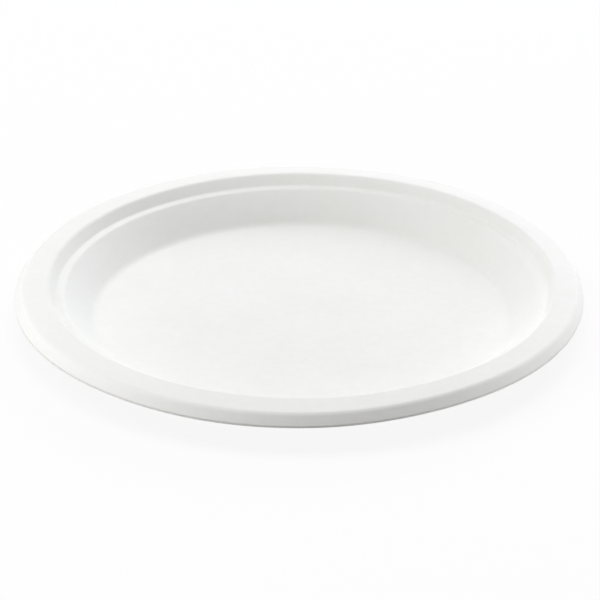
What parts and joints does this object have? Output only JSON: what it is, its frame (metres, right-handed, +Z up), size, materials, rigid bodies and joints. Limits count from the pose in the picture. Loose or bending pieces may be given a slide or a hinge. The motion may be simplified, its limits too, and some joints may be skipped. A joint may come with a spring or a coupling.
{
  "type": "paper plate",
  "caption": "Round moulded pulp plate with a flat floor, sloping wall, narrow ledge and a turned-down rim, to serve a meal on.",
  "frame": {"origin": "centre of the flat underside that rests on the table", "axes": "+Z up, along the axis of the plate; +X and +Y lie in the plane of the table"},
  "size_m": [0.26, 0.26, 0.02],
  "materials": {
    "pulp": "matt white pressed paper pulp, smooth on the food side, with fine fibres showing"
  },
  "bodies": {
    "root": {"plate": "pulp"}
  },
  "joints": []
}
